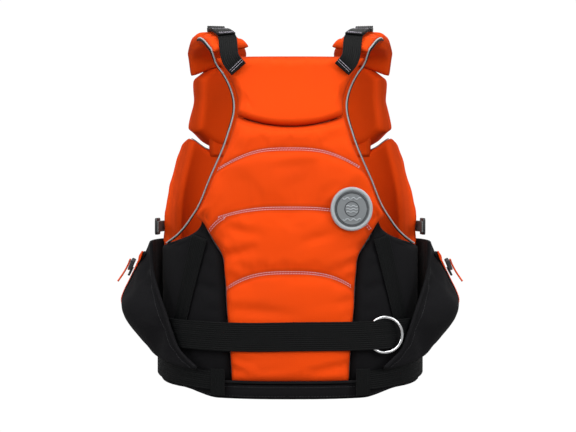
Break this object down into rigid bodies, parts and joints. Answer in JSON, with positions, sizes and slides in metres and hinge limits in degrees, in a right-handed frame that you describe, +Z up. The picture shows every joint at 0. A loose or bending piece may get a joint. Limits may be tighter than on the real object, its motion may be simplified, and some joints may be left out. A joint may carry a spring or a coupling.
{
  "type": "life jacket",
  "caption": "Pullover rescue buoyancy vest: padded back and front, side pockets with zips, harness belt with a steel tether ring, waist belt and adjustable shoulders.",
  "frame": {"origin": "middle of the base, on the surface that the hem stands on", "axes": "+Z up, -Y towards the wearer's back, +X towards the wearer's right arm"},
  "size_m": [0.489, 0.3248, 0.5032],
  "materials": {
    "orange_fabric": "woven ripstop nylon, bright orange, matt",
    "charcoal_fabric": "brushed dark charcoal softshell, matt",
    "lining_mesh": "black open spacer mesh",
    "foam": "grey closed-cell foam",
    "black_webbing": "ribbed black nylon webbing",
    "grey_webbing": "grey nylon webbing",
    "reflective_piping": "light grey reflective piping",
    "polished_steel": "polished stainless steel",
    "moulded_plastic": "black moulded acetal, fine satin grain",
    "orange_trim": "orange zip teeth, cord and ball",
    "grey_patch": "grey woven patch"
  },
  "bodies": {
    "vest": {"back_yoke_pad": "orange_fabric", "back_centre_panel": "orange_fabric", "back_side_panel_right": "charcoal_fabric", "back_side_panel_left": "charcoal_fabric", "back_liner": "lining_mesh", "back_foam": "foam", "piping_right": "reflective_piping", "piping_left": "reflective_piping", "hem_band": "charcoal_fabric", "front_chest_pad": "orange_fabric", "front_liner": "lining_mesh", "front_lower_pad": "orange_fabric", "shoulder_pad_right": "orange_fabric", "shoulder_pad_left": "orange_fabric", "shoulder_wing_right": "orange_fabric", "shoulder_wing_left": "orange_fabric", "shoulder_strap_right": "black_webbing", "shoulder_strap_left": "black_webbing", "strap_folded_end_right": "black_webbing", "strap_folded_end_left": "black_webbing", "harness_belt": "black_webbing", "waist_belt_right": "black_webbing", "waist_belt_left": "black_webbing", "harness_strap_right": "black_webbing", "harness_strap_left": "black_webbing", "belt_keeper_right": "black_webbing", "belt_keeper_left": "black_webbing", "side_pocket_right": "charcoal_fabric", "side_pocket_left": "charcoal_fabric", "zip_chain_right": "orange_trim", "zip_chain_left": "orange_trim", "zip_garage_right": "orange_trim", "zip_garage_left": "orange_trim", "side_adjuster_strap_right": "grey_webbing", "side_adjuster_strap_left": "grey_webbing", "side_buckle_right": "moulded_plastic", "side_buckle_left": "moulded_plastic", "waist_buckle_socket": "moulded_plastic", "harness_buckle_frame": "polished_steel", "lash_tab": "moulded_plastic", "badge": "grey_patch"},
    "tether_ring": {"tether_ring": "polished_steel"},
    "zip_slider_right": {"zip_slider_right": "moulded_plastic"},
    "zip_slider_left": {"zip_slider_left": "moulded_plastic"},
    "zip_pull_right": {"pull_toggle_right": "moulded_plastic", "pull_loop_right": "orange_trim", "pull_cord_right": "orange_trim"},
    "zip_pull_left": {"pull_toggle_left": "moulded_plastic", "pull_loop_left": "orange_trim", "pull_cord_left": "orange_trim"},
    "waist_plug": {"waist_buckle_plug": "moulded_plastic", "waist_strap_end": "black_webbing"},
    "release_lever": {"release_cam": "moulded_plastic", "release_ball": "orange_trim"},
    "shoulder_adjuster_right": {"shoulder_buckle_right": "moulded_plastic"},
    "shoulder_adjuster_left": {"shoulder_buckle_left": "moulded_plastic"}
  },
  "joints": [
    {"name": "ring_slide", "type": "slide", "parent": "vest", "child": "tether_ring", "axis": [0.8617, 0.5074, 0], "range_m": [-0.006, 0.003]},
    {"name": "zip_slide_right", "type": "slide", "parent": "vest", "child": "zip_slider_right", "axis": [0.4439, 0.0081, -0.8961], "range_m": [0, 0.03]},
    {"name": "zip_slide_left", "type": "slide", "parent": "vest", "child": "zip_slider_left", "axis": [-0.4439, 0.0081, -0.8961], "range_m": [0, 0.03]},
    {"name": "pull_swing_right", "type": "hinge", "parent": "zip_slider_right", "child": "zip_pull_right", "pos_m": [0.22515, -0.00575, 0.15765], "axis": [0.8959, 0.0163, 0.4439], "range_deg": [-12, 25]},
    {"name": "pull_swing_left", "type": "hinge", "parent": "zip_slider_left", "child": "zip_pull_left", "pos_m": [-0.22515, -0.00575, 0.15765], "axis": [0.8959, -0.0163, -0.4439], "range_deg": [-12, 25]},
    {"name": "waist_release", "type": "slide", "parent": "vest", "child": "waist_plug", "axis": [-1, 0, 0], "range_m": [0, 0.03]},
    {"name": "harness_release", "type": "hinge", "parent": "vest", "child": "release_lever", "pos_m": [0, 0.1346, 0.1], "axis": [1, 0, 0], "range_deg": [0, 70]},
    {"name": "shoulder_tilt_right", "type": "hinge", "parent": "vest", "child": "shoulder_adjuster_right", "pos_m": [0.09961, 0.1102, 0.4], "axis": [0.9525, -0.3046, 0], "range_deg": [0, 20]},
    {"name": "shoulder_tilt_left", "type": "hinge", "parent": "vest", "child": "shoulder_adjuster_left", "pos_m": [-0.09961, 0.1102, 0.4], "axis": [0.9525, 0.3046, 0], "range_deg": [0, 20]}
  ]
}
